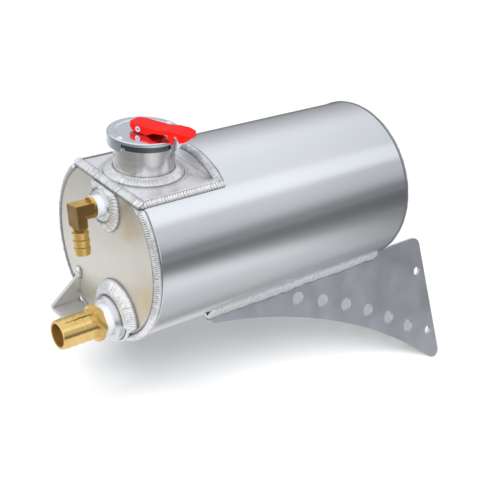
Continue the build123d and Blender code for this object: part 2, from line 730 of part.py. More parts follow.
def build():
    """All pieces by node name, in the tank's frame."""
    rim_bead, rim_corner = corner_bead(0)
    back_bead, back_corner = rear_corner_bead()
    arch_bead, arch_corner = corner_bead(recess_length)
    pan_bead, pan_corner = pan_beads()
    above_floor = block(0, tank_length, -tank_od, tank_od, pan_bottom, tank_od)
    corners = rim_corner + back_corner + (arch_corner & above_floor)

    shell = rod_x(tank_r, 0, tank_length) - rod_x(bore_r, -1, tank_length + 1)
    shell = shell - recess_space() - corners - pan_corner
    front = rod_x(bore_r, 0, end_plate_t) - recess_space() - rim_corner - pan_corner
    front -= rod_x(upper_bung_od / 2, -1, 9, 0, upper_z)
    front -= rod_x(lower_spigot_od / 2, -1, 9, lower_y, lower_z)
    rear = rod_x(bore_r, tank_length - end_plate_t, tank_length) - back_corner
    pan = block(0, recess_length, -tank_r, tank_r, pan_bottom, recess_floor) - pan_corner
    pan &= rod_x(tank_r, 0, recess_length)
    pan -= rod_z(neck_r, pan_bottom - 1, recess_floor + 1, neck_x, neck_y)
    wall = rod_x(bore_r, recess_length, recess_length + recess_wall_t) & above_floor
    wall -= arch_corner

    low_z = recess_floor - pan_bead_on_face
    rim_bead -= block(-9, recess_length, -tank_od, tank_od, low_z, tank_od)
    rim_bead = rim_bead - pan_bead - make_lower_bung()
    arch_bead = (arch_bead & above_floor) - pan_bead - pan

    neck = make_filler_neck()
    neck_bead = turned_z([(neck_r, recess_floor), (neck_weld_toe, recess_floor),
                          (neck_weld_toe - 0.4, recess_floor + 0.6),
                          ((neck_r + neck_weld_toe) / 2, recess_floor + neck_weld_leg * 0.42),
                          (neck_r + 0.7, recess_floor + neck_weld_leg),
                          (neck_r, recess_floor + neck_weld_leg)], neck_x, neck_y) - pan_bead

    upper_bead = fillet_ring(upper_toe, upper_bung_od / 2, upper_bead_leg, 0, upper_z) - pan_bead
    upper_bead &= block(-tank_r, 0, -tank_r, tank_r, 0, low_z)
    lower_bead = fillet_ring(lower_toe, lower_bung_od / 2, lower_bead_leg, lower_y, lower_z)
    lower_bead &= rod_x(tank_r - lower_bead_inset, -tank_r, 0)
    lower_bead -= rim_bead

    tab = make_front_tab() - rim_bead - rod_x(tank_r + 1, 0, 9)
    weld_y = tab_y + tab_t
    tab_root = make_face(Polyline((0, weld_y), (-tab_bead_on_tab, weld_y),
                                  (0, weld_y + tab_bead_on_plate), close=True))
    tab_bead = extrude(Pos(0, 0, tab_top_z + tab_bead_start) * tab_root,
                       tab_rise + tab_bead_past - tab_bead_start) - rim_bead
    bracket = make_bracket() - back_bead

    valve_bottom = seat_z + seal_gap + valve_gasket_t
    valve_top = valve_bottom + valve_t
    bell_roof = cap_under - dish_depth - swivel_gap - bell_wall
    vacuum_top = valve_top + vacuum_cup_height - vacuum_cup_wall - vacuum_head_t - 0.4

    return {
        "tank_shell": shell,
        "front_end_plate": front,
        "rear_end_plate": rear,
        "filler_pan": pan,
        "recess_wall": wall,
        "filler_neck": neck,
        "upper_bung": make_upper_bung(),
        "lower_bung": make_lower_bung(),
        "elbow_fitting": make_elbow(),
        "barb_fitting": make_barb_fitting(),
        "upper_thread_tape": turned_x(
            [(elbow_end_x, upper_thread_od / 2), (elbow_end_x, upper_thread_od / 2 + tape_t),
             (-upper_bung_out, upper_thread_od / 2 + tape_t),
             (-upper_bung_out, upper_thread_od / 2)], 0, upper_z),
        "lower_thread_tape": turned_x(
            [(hex_back_x, lower_thread_od / 2), (hex_back_x, lower_thread_od / 2 + tape_t),
             (-lower_bung_out, lower_thread_od / 2 + tape_t),
             (-lower_bung_out, lower_thread_od / 2)], lower_y, lower_z),
        "front_tab": tab,
        "rear_bracket": bracket,
        "weld_front_rim": rim_bead,
        "weld_rear_rim": back_bead,
        "weld_pan": pan_bead,
        "weld_recess_arch": arch_bead,
        "weld_neck": neck_bead,
        "weld_upper_bung": upper_bead,
        "weld_lower_bung": lower_bead,
        "weld_bracket": make_bracket_weld(bracket),
        "weld_tab": tab_bead,
        "cap_shell": make_cap_shell(),
        "swivel_bell": make_swivel_bell(),
        "top_gasket": ring_z(gasket_r, bell_od / 2 + 0.2, flange_top + seal_gap,
                             flange_top + seal_gap + gasket_t),
        "diaphragm": ring_z(gasket_r, bell_od / 2 + 0.2, flange_top + seal_gap + gasket_t,
                            flange_top + seal_gap + gasket_t + diaphragm_t),
        "pressure_spring": coil(spring_wire, spring_coil_od, spring_turns, valve_top, bell_roof),
        "pressure_valve": make_pressure_valve(valve_bottom),
        "valve_gasket": ring_z(valve_r, seat_bore / 2 - 2.0, seat_z + seal_gap, valve_bottom),
        "valve_stem": make_valve_stem(valve_top),
        "lever": make_lever(),
        "lever_pin": make_lever_pin(),
        "vacuum_valve": make_vacuum_valve(valve_bottom, valve_top),
        "vacuum_spring": coil(vacuum_wire, vacuum_head_od - 0.4, 4, valve_top, vacuum_top),
    }


origin = on_bracket(*upper_bolt)
for name, piece in build().items():
    export_step(Pos(-origin.X, -origin.Y, -origin.Z) * piece, f"parts/{name}.step")
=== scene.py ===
"""Coolant overflow tank: weld beads, springs, finishes, light and camera round the CAD frame."""

import math

import bpy
import numpy as np
from mathutils import Matrix, Vector


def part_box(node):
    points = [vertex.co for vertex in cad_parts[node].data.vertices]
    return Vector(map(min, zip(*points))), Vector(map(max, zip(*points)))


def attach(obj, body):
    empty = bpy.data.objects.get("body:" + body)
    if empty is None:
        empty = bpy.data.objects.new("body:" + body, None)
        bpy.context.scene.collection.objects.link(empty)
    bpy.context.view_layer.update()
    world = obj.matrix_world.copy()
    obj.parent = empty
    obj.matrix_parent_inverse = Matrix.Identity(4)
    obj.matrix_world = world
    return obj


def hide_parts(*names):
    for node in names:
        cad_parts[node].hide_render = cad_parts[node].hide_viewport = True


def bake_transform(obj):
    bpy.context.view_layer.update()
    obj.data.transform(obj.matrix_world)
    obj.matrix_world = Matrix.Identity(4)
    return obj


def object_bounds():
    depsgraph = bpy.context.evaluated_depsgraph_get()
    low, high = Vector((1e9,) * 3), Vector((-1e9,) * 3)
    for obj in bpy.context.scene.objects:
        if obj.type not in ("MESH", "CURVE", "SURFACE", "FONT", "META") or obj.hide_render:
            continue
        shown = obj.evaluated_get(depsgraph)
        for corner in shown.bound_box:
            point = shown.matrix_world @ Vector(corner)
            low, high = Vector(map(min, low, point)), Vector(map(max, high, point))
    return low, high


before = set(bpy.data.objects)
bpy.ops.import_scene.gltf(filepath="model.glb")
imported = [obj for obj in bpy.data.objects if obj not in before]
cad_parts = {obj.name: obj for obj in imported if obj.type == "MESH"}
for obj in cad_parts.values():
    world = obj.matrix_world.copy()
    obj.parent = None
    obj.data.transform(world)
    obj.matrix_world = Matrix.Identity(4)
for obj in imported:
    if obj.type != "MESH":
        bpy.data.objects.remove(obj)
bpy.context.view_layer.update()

MM = 0.001
X, Y, Z = range(3)

# Where the tank's axis meets the front plate: every place below is in millimetres from
# there, with x along the axis, y to the far side and z up.
shell_low, shell_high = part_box("tank_shell")
AXIS_AT = Vector((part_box("front_end_plate")[0].x, (shell_low.y + shell_high.y) / 2,
                  (shell_low.z + shell_high.z) / 2))
TUBE_R = (shell_high.z - shell_low.z) / 2 / MM


def place(x, y, z):
    """A point given in millimetres from the tank's axis, in the shared frame."""
    return AXIS_AT + Vector((x, y, z)) * MM


def middle(node):
    """Centre of a CAD node's box, in millimetres from the tank's axis."""
    low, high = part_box(node)
    return ((low + high) / 2 - AXIS_AT) / MM


def reach(node, axis):
    """How far a CAD node goes along x, y or z, in millimetres from the tank's axis."""
    return (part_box(node)[1][axis] - AXIS_AT[axis]) / MM


TUBE_END = reach("rear_end_plate", X)
NECK = middle("filler_neck")
NECK_TOP = reach("filler_neck", Z)
PAN_TOP = reach("filler_pan", Z)
PAN_BACK_X = reach("filler_pan", X)
UPPER_BUNG = middle("upper_bung")
LOWER_BUNG = middle("lower_bung")


# ---------------------------------------------------------------- materials


class Nodes:
    """Short ways to add nodes to a shader tree."""

    def __init__(self, tree):
        self.tree = tree

    def link(self, source, target):
        self.tree.links.new(source, target)

    def feed(self, socket, source):
        """Links a socket, or sets it where the source is a number, a place or a colour."""
        if isinstance(source, bpy.types.NodeSocket):
            self.link(source, socket)
        else:
            socket.default_value = (*source, 1.0) if socket.type == "RGBA" else source

    def node(self, kind, **settings):
        made = self.tree.nodes.new(kind)
        for key, value in settings.items():
            setattr(made, key, value)
        return made

    def maths(self, operation, *sources):
        made = self.node("ShaderNodeMath", operation=operation)
        for socket, source in zip(made.inputs, sources):
            self.feed(socket, source)
        return made.outputs[0]

    def vector_maths(self, operation, *sources):
        made = self.node("ShaderNodeVectorMath", operation=operation)
        for socket, source in zip(made.inputs, sources):
            self.feed(socket, source)
        return made.outputs["Value" if operation in ("LENGTH", "DOT_PRODUCT") else "Vector"]

    def part(self, vector, axis):
        """A vector's share along x, y or z."""
        split = self.node("ShaderNodeSeparateXYZ")
        self.link(vector, split.inputs[0])
        return split.outputs[axis]

    def ramp(self, factor, *stops):
        made = self.node("ShaderNodeValToRGB")
        elements = made.color_ramp.elements
        while len(elements) < len(stops):
            elements.new(0.5)
        for element, (position, colour) in zip(elements, stops):
            element.position = position
            element.color = (*colour, 1.0)
        self.link(factor, made.inputs["Fac"])
        return made.outputs["Color"]

    def levels(self, factor, low, high, from_low=0.0, from_high=1.0):
        made = self.node("ShaderNodeMapRange")
        for key, value in zip(("From Min", "From Max", "To Min", "To Max"),
                              (from_low, from_high, low, high)):
            made.inputs[key].default_value = value
        self.link(factor, made.inputs["Value"])
        return made.outputs["Result"]

    def mix(self, factor, first, second, blend="MIX"):
        """Blend of two colours, through the Mix node's own sockets for colours."""
        made = self.node("ShaderNodeMix", data_type="RGBA", blend_type=blend)
        for index, source in ((0, factor), (6, first), (7, second)):
            self.feed(made.inputs[index], source)
        return made.outputs[2]

    def product(self, first, second):
        return self.mix(1.0, first, second, "MULTIPLY")


class Shader(Nodes):
    """A material with one Principled shader, and the ways to look up places on the tank."""

    def __init__(self, name, **sockets):
        self.mat = bpy.data.materials.new(name)
        self.mat.use_nodes = True
        super().__init__(self.mat.node_tree)
        self.bsdf = self.tree.nodes["Principled BSDF"]
        self.coords = self.node("ShaderNodeTexCoord").outputs["Object"]
        for socket, value in sockets.items():
            self.bsdf.inputs[socket.replace("_", " ")].default_value = value

    def set(self, socket, source):
        self.link(source, self.bsdf.inputs[socket])

    def rough(self, noise, low, high):
        """Roughness from low to high over the middle of a noise."""
        self.set("Roughness", self.levels(noise, low, high, 0.3, 0.7))

    def stretched(self, x, y, z):
        mapping = self.node("ShaderNodeMapping")
        mapping.inputs["Scale"].default_value = (x, y, z)
        self.link(self.coords, mapping.inputs["Vector"])
        return mapping.outputs["Vector"]

    def noise(self, scale, detail=3.0, vector=None, distortion=0.0):
        made = self.node("ShaderNodeTexNoise")
        made.inputs["Scale"].default_value = scale
        made.inputs["Detail"].default_value = detail
        made.inputs["Distortion"].default_value = distortion
        self.link(vector if vector is not None else self.coords, made.inputs["Vector"])
        return made.outputs["Fac"]

    def bump(self, height, strength, distance, below=None):
        made = self.node("ShaderNodeBump")
        made.inputs["Strength"].default_value = strength
        made.inputs["Distance"].default_value = distance
        self.link(height, made.inputs["Height"])
        if below is not None:
            self.link(below, made.inputs["Normal"])
        self.set("Normal", made.outputs["Normal"])
        return made.outputs["Normal"]

    def attribute(self, name):
        return self.node("ShaderNodeAttribute", attribute_name=name).outputs["Fac"]

    def along(self, axis, low, high, most=1.0):
        """0 to most between two places along x, y or z, in millimetres from the tank's axis."""
        ends = (place(low, low, low)[axis], place(high, high, high)[axis])
        return self.levels(self.part(self.coords, axis), 0.0, most, *ends)

    def distance_to(self, point, shares):
        """Distance from a place, in millimetres, with x, y and z counted by their shares."""
        shift = self.vector_maths("SUBTRACT", self.coords, place(*point))
        scaled = self.vector_maths("MULTIPLY", shift, tuple(share / MM for share in shares))
        return self.vector_maths("LENGTH", scaled)

    def edge_wear_and_highlight(self, radius=0.0006):
        """Mask of edges painted lighter, partly as wear and partly as painted highlight: 1 on
        sharp corners, 0 on flats, from a rounded normal against the true one.
        """
        soft = self.node("ShaderNodeBevel", samples=4)
        soft.inputs["Radius"].default_value = radius
        true = self.node("ShaderNodeNewGeometry").outputs["True Normal"]
        likeness = self.vector_maths("DOT_PRODUCT", soft.outputs["Normal"], true)
        return self.levels(likeness, 1.0, 0.0, 0.80, 0.99)

    def facing_up(self, low, high):
        """0 to 1 as the surface turns towards the sky."""
        normal = self.node("ShaderNodeNewGeometry").outputs["Normal"]
        return self.levels(self.part(normal, Z), 0.0, 1.0, low, high)

    def corner_shade(self, within, low, high, most):
        """Mask for painted shade: 0 in the open, rising to most in a corner, by what stands
        within a distance.
        """
        made = self.node("ShaderNodeAmbientOcclusion", samples=8)
        made.inputs["Distance"].default_value = within
        return self.levels(self.levels(made.outputs["AO"], 1.0, 0.0, low, high), 0.0, most)


# Where painted shade starts to darken the tube towards its far end.
TUBE_SHADE_FROM = 130


def brushed_tube():
    """Drawn tube: fine lengthwise grain and a very faint haze, with painted shade that darkens it
    towards its far end.
    """
    s = Shader("brushed_tube", Metallic=1.0)
    grain = s.noise(1.0, 3.0, s.stretched(5, 420, 420))
    haze = s.noise(14.0, 3.0, s.stretched(0.6, 2.0, 2.0))
    bright = s.ramp(haze, (0.3, (0.82, 0.845, 0.89)), (0.7, (0.86, 0.88, 0.92)))
    face = s.mix(s.levels(grain, 0.0, 0.22), bright, (0.75, 0.775, 0.81))
    # Painted shade, darker towards the tube's far end.
    rear = s.along(X, TUBE_SHADE_FROM, TUBE_END, 0.55)
    s.set("Base Color", s.mix(rear, face, (0.60, 0.62, 0.66)))
    s.rough(haze, 0.17, 0.22)
    s.bump(grain, 0.10, 0.00003)
    return s.mat


def plate_metal(name, warm, dark, rough=0.38, edge=(0.92, 0.92, 0.91)):
    """Sheet aluminium with a satin face and faint blotches, painted shade in its corners, and
    bright edges, partly wear and partly painted highlight.
    """
    s = Shader(name, Metallic=1.0)
    blotch = s.noise(38.0, 4.0, distortion=0.6)
    grain = s.noise(1.0, 4.0, s.stretched(900, 900, 60))
    face = s.mix(s.levels(grain, 0.0, 0.25), s.ramp(blotch, (0.35, dark), (0.62, warm)),
                 tuple(0.88 * c for c in dark))
    # Painted shade in corners and beside the weld beads.
    face = s.mix(s.corner_shade(0.004, 0.25, 0.75, 0.6), face, (0.30, 0.29, 0.28))
    # Edges painted lighter, partly wear and partly painted highlight.
    s.set("Base Color", s.mix(s.edge_wear_and_highlight(), face, edge))
    s.rough(blotch, rough - 0.05, rough + 0.07)
    s.bump(grain, 0.12, 0.00004)
    return s.mat


HEAT_INNER_R = 33.0
HEAT_OUTER_R = 58.0
HEAT_WAVER = 9.0


def pan_metal():
    """The recess floor: heat-tinted rings round the neck's weld, and painted shade in its
    corners.
    """
    s = Shader("pan_metal", Metallic=0.86)
    blotch = s.noise(60.0, 4.0, distortion=1.2)
    away = s.distance_to((NECK.x, NECK.y, 0), (1, 1, 0))
    ring = s.maths("MULTIPLY_ADD", blotch, HEAT_WAVER, away)
    tint = s.ramp(s.levels(ring, 0.0, 1.0, HEAT_INNER_R, HEAT_OUTER_R),
                  (0.0, (0.66, 0.66, 0.68)), (0.14, (0.98, 0.98, 1.0)),
                  (0.28, (0.72, 0.72, 0.75)), (0.38, (0.98, 0.98, 1.0)),
                  (0.62, (0.96, 0.96, 1.0)))
    # Painted shade in the recess's corners and beside its beads.
    s.set("Base Color", s.mix(s.corner_shade(0.006, 0.2, 0.8, 0.55), tint, (0.28, 0.28, 0.29)))
    s.rough(blotch, 0.24, 0.38)
    return s.mat


CAM_SKIRT = 4.9


def turned_metal():
    """Machined aluminium with fine turning rings and upright bands of painted reflection, and
    painted shade that darkens the cam's skirt under the cap.
    """
    s = Shader("turned_metal", Metallic=1.0)
    rings = s.noise(1.0, 2.0, s.stretched(30, 30, 900))
    # Painted reflection: upright bands, lighter and darker, round the neck.
    reflection_bands = s.noise(1.0, 3.0, s.stretched(85, 85, 4))
    bright = s.product(s.ramp(rings, (0.3, (0.90, 0.90, 0.90)), (0.7, (0.98, 0.98, 0.97))),
                       s.ramp(reflection_bands, (0.36, (0.66, 0.67, 0.68)), (0.50, (0.98, 0.98, 0.98)),
                              (0.66, (1.0, 1.0, 1.0))))
    # Painted shade on the cam's skirt, under the cap's rim.
    skirt = s.along(Z, NECK_TOP - CAM_SKIRT - 0.4, NECK_TOP - CAM_SKIRT + 0.2)
    s.set("Base Color", s.mix(skirt, bright, (0.16, 0.19, 0.20)))
    s.rough(rings, 0.17, 0.27)
    s.bump(rings, 0.10, 0.00003)
    return s.mat


def bung_metal():
    """Weld bungs, turned about an axis along the tank and dulled by the heat."""
    s = Shader("bung_metal", Metallic=1.0)
    rings = s.noise(1.0, 2.0, s.stretched(900, 30, 30))
    cloud = s.noise(110.0, 3.0)
    s.set("Base Color", s.ramp(cloud, (0.3, (0.76, 0.77, 0.79)), (0.7, (0.88, 0.89, 0.91))))
    s.rough(cloud, 0.22, 0.34)
    s.bump(rings, 0.15, 0.00004)
    return s.mat


def weld_metal():
    """Part-frosted weld deposit, with painted shade between its ripples, and dark lines along its
    toes that are partly oxide and partly painted shade.
    """
    s = Shader("weld_metal", Metallic=0.72)
    patch = s.noise(260.0, 4.0, distortion=0.8)
    fine = s.noise(700.0, 3.0)
    bright = s.ramp(patch, (0.32, (0.70, 0.71, 0.735)), (0.46, (0.88, 0.885, 0.90)),
                    (0.62, (0.97, 0.975, 0.99)))
    # Painted shade in the valleys between the ripples.
    rippled = s.mix(s.levels(s.attribute("valley"), 0.0, 0.95), bright, (0.10, 0.11, 0.125))
    # Painted greyer where a bead is marked so, partly its own tone and partly painted shade.
    greyed = s.mix(s.attribute("dull"), rippled, (0.42, 0.43, 0.45))
    # Dark toe lines, partly oxide and partly painted shade where the bead meets the metal.
    toes = s.levels(s.attribute("toe"), 0.0, 0.85)
    s.set("Base Color", s.mix(toes, greyed, (0.12, 0.12, 0.13)))
    s.rough(patch, 0.46, 0.24)
    s.bump(fine, 0.35, 0.0001)
    return s.mat


OUTLET_BORE_R = 10.2


def brass_metal():
    """Machined brass with turning marks and a little tarnish, corners painted lighter as wear and
    as painted highlight, and painted shade inside the bore.
    """
    s = Shader("brass_metal", Metallic=1.0)
    tarnish = s.noise(70.0, 4.0)
    turning = s.noise(1.0, 2.0, s.stretched(1300, 120, 400))
    face = s.ramp(tarnish, (0.30, (0.80, 0.53, 0.17)), (0.62, (0.94, 0.68, 0.27)))
    from_axis = s.distance_to((0, LOWER_BUNG.y, LOWER_BUNG.z), (0, 1, 1))
    # 0 inside the bore, where painted shade makes it a dark brown.
    outside = s.levels(from_axis, 0.0, 1.0, OUTLET_BORE_R, OUTLET_BORE_R + 0.4)
    # Corners painted lighter, partly wear and partly painted highlight.
    worn_and_lit_corners = s.mix(s.edge_wear_and_highlight(0.0004), face, (1.0, 0.88, 0.60))
    s.set("Base Color", s.mix(outside, (0.42, 0.22, 0.05), worn_and_lit_corners))
    s.rough(turning, 0.08, 0.15)
    s.set("Metallic", s.levels(outside, 0.6, 1.0))
    s.bump(turning, 0.05, 0.00002)
    return s.mat


BARB_FROM = UPPER_BUNG.z - 12.6
BARB_FULLY = UPPER_BUNG.z - 13.4


def forged_brass():
    """The elbow: brown forged flanks, a top lighter where it faces up, partly machined and partly
    painted light, a brighter barb, and corners painted lighter as wear and as painted highlight.
    """
    s = Shader("forged_brass", Metallic=1.0)
    skin = s.noise(90.0, 4.0)
    flank = s.ramp(skin, (0.3, (0.29, 0.175, 0.055)), (0.7, (0.40, 0.25, 0.085)))
    # Top painted lighter than the flanks by how far it faces up: partly its machined face, partly
    # painted light.
    machined_and_lit_top = s.mix(s.facing_up(0.55, 0.85), flank, (1.0, 0.66, 0.16))
    barb = s.along(Z, BARB_FROM, BARB_FULLY)
    face = s.mix(barb, machined_and_lit_top, (0.74, 0.50, 0.16))
    # Corners painted lighter, partly wear and partly painted highlight.
    s.set("Base Color", s.mix(s.edge_wear_and_highlight(0.0005), face, (0.98, 0.76, 0.42)))
    s.set("Roughness", s.levels(barb, 0.30, 0.14))
    s.bump(s.noise(900.0, 3.0), 0.15, 0.00005)
    return s.mat


def plated_metal():
    """Bright zinc-plated pressing with a cold tint and faint cloudiness."""
    s = Shader("plated_metal", Metallic=1.0)
    cloud = s.noise(90.0, 3.0)
    face = s.ramp(cloud, (0.3, (0.82, 0.89, 0.98)), (0.7, (0.88, 0.94, 1.0)))
    # Edges painted lighter, partly wear and partly painted highlight.
    s.set("Base Color", s.mix(s.edge_wear_and_highlight(0.0004), face, (0.93, 0.95, 0.98)))
    s.rough(cloud, 0.10, 0.20)
    return s.mat


def red_enamel():
    """Thick dip coat, thinner and brighter along its corners, partly from the thin coat and
    partly painted highlight, with a slight orange peel.
    """
    s = Shader("red_enamel", Roughness=0.38, Specular_IOR_Level=0.15)
    shade = s.noise(80.0, 3.0)
    face = s.ramp(shade, (0.3, (0.86, 0.007, 0.004)), (0.7, (0.96, 0.012, 0.006)))
    # Corners painted brighter, partly the thin coat and partly painted highlight.
    s.set("Base Color", s.mix(s.edge_wear_and_highlight(0.0005), face, (0.95, 0.07, 0.04)))
    s.bump(s.noise(700.0, 2.0), 0.10, 0.0001)
    return s.mat


def bracket_metal():
    """Laser-cut plate left with its matt grey mill finish, and bright cut edges, partly bare cut
    metal and partly painted highlight.
    """
    s = Shader("bracket_metal", Metallic=1.0)
    blotch = s.noise(30.0, 4.0, distortion=0.4)
    grain = s.noise(1.0, 4.0, s.stretched(40, 1200, 1200))
    dull = s.ramp(blotch, (0.3, (0.66, 0.695, 0.745)), (0.7, (0.81, 0.845, 0.90)))
    face = s.mix(s.levels(grain, 0.0, 0.3), dull, (0.57, 0.60, 0.645))
    # Cut edges painted lighter, partly bare metal and partly painted highlight.
    s.set("Base Color", s.mix(s.edge_wear_and_highlight(0.0005), face, (0.86, 0.88, 0.90)))
    s.rough(blotch, 0.40, 0.50)
    s.bump(grain, 0.12, 0.00004)
    return s.mat


def tape_white():
    """Thread tape wound in overlapping turns."""
    s = Shader("tape_white", Roughness=0.55, Subsurface_Weight=0.1)
    turns = s.noise(1.0, 2.0, s.stretched(1100, 90, 90))
    fibres = s.noise(1.0, 4.0, s.stretched(2600, 300, 300))
    s.set("Base Color", s.ramp(turns, (0.3, (0.78, 0.79, 0.80)), (0.6, (0.88, 0.89, 0.90))))
    s.bump(turns, 0.5, 0.0003, s.bump(fibres, 0.3, 0.0001))
    return s.mat


def seal_rubber():
    """Black rubber with a little dust."""
    s = Shader("seal_rubber", Roughness=0.75)
    dust = s.noise(260.0, 4.0)
    s.set("Base Color", s.ramp(dust, (0.4, (0.018, 0.018, 0.019)), (0.75, (0.05, 0.05, 0.05))))
    s.bump(dust, 0.2, 0.0001)
    return s.mat


def spring_steel():
    """Drawn steel wire and strip."""
    s = Shader("spring_steel", Metallic=1.0)
    drawn = s.noise(500.0, 3.0)
    s.set("Base Color", s.ramp(drawn, (0.3, (0.42, 0.43, 0.45)), (0.7, (0.60, 0.61, 0.63))))
    s.rough(drawn, 0.25, 0.42)
    return s.mat


FINISHES = (
    (brushed_tube(), ("tank_shell",)),
    (plate_metal("plate_metal", (0.90, 0.88, 0.81), (0.85, 0.83, 0.76)),
     ("front_end_plate", "rear_end_plate")),
    (plate_metal("tab_metal", (0.84, 0.835, 0.815), (0.76, 0.755, 0.735), 0.42,
                 (0.92, 0.92, 0.92)), ("front_tab",)),
    (plate_metal("wall_metal", (0.98, 0.98, 1.0), (0.94, 0.94, 0.96)), ("recess_wall",)),
    (pan_metal(), ("filler_pan",)),
    (turned_metal(), ("filler_neck",)),
    (bung_metal(), ("upper_bung", "lower_bung")),
    (brass_metal(), ("barb_fitting", "vacuum_valve")),
    (forged_brass(), ("elbow_fitting",)),
    (plated_metal(), ("cap_shell", "swivel_bell", "pressure_valve", "valve_stem", "lever_pin")),
    (red_enamel(), ("lever",)),
    (bracket_metal(), ("rear_bracket",)),
    (tape_white(), ("upper_thread_tape", "lower_thread_tape")),
    (seal_rubber(), ("top_gasket", "valve_gasket")),
    (spring_steel(), ("diaphragm", "pressure_spring", "vacuum_spring")),
)
WELD = weld_metal()


def finish_nodes():
    """Gives each carried-over CAD node its material."""
    for material, nodes in FINISHES:
        for node in nodes:
            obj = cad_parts[node]
            obj.data.materials.clear()
            obj.data.materials.append(material)


def close_up_coils():
    """Stands in for the two springs with a copy of each coil's mesh, and hides the CAD nodes."""
    for node, below, above in (("pressure_spring", "valve", "cap"),
                               ("vacuum_spring", "valve", "vacuum")):
        coil = bpy.data.objects.new(node + "_coil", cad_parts[node].data.copy())
        coil.matrix_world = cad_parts[node].matrix_world
        bpy.context.collection.objects.link(coil)
        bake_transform(coil)
        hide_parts(node)


# ---------------------------------------------------------------- weld beads

RIPPLE_STEPS = 8
BEAD_STRIPS = 12
# How unevenly the ripples follow each other, how much the bead swells from one to the next,
# and how strongly each stands out at least and at most.
BEAT_SPREAD = 0.16
SWELL_SPREAD = 0.06
RIPPLE_STRENGTHS = (0.6, 1.25)
# Share of its width over which an open end rounds off, and depth of its underside in the metal.
END_SHARE = 0.4
SINK = 0.8
# How fast the dark line along a toe, partly oxide and partly painted shade, fades across the
# bead.
TOE_FADE = 6
# Powers that make the humps round and the valleys' painted shade narrow.
HUMP_POWER = 0.65
VALLEY_POWER = 1.7
# Ripple height that leaves the crown as it is, and how soon the ripples rise from the toes.
RIPPLE_LEVEL = 0.6
RIPPLE_RISE = 2.2


def ripple_wave(phase):
    """Round humps with sharp valleys, like stacked coins."""
    return np.abs(np.sin(np.pi * phase)) ** HUMP_POWER


def at_ripples(ripple_at, values):
    """Values given one to a ripple, spread along the bead and back to the first."""
    knots = np.arange(len(values) + 1)
    return np.interp(ripple_at, knots, np.resize(values, len(values) + 1))


def share_over(share, t, v):
    """A share given as one number, or as share(t, v) along and across the bead."""
    return share(t, v) if callable(share) else np.full(len(t), share)


def bead_faces(rows, per_row, closed):
    """Quads round and along a bead, with a cap on each open end."""
    faces = []
    for i in range(rows if closed else rows - 1):
        j = (i + 1) % rows
        for k in range(per_row):
            m = (k + 1) % per_row
            faces.append((i * per_row + k, i * per_row + m, j * per_row + m, j * per_row + k))
    if not closed:
        faces.append(tuple(range(per_row))[::-1])
        faces.append(tuple((rows - 1) * per_row + k for k in range(per_row)))
    return faces


def bead_mesh(name, rings, closed, **layers):
    """Mesh over lines of points along a bead, with each layer's value at each point."""
    points = np.stack(rings, axis=1)
    mesh = bpy.data.meshes.new(name)
    mesh.from_pydata([tuple(place(*p)) for p in points.reshape(-1, 3)], [],
                     bead_faces(*points.shape[:2], closed))
    mesh.validate()
    mesh.shade_smooth()
    for attribute, values in layers.items():
        layer = mesh.attributes.new(attribute, "FLOAT", "POINT")
        layer.data.foreach_set("value", np.stack(values, axis=1).reshape(-1).astype(np.float32))
    mesh.materials.append(WELD)
    return mesh


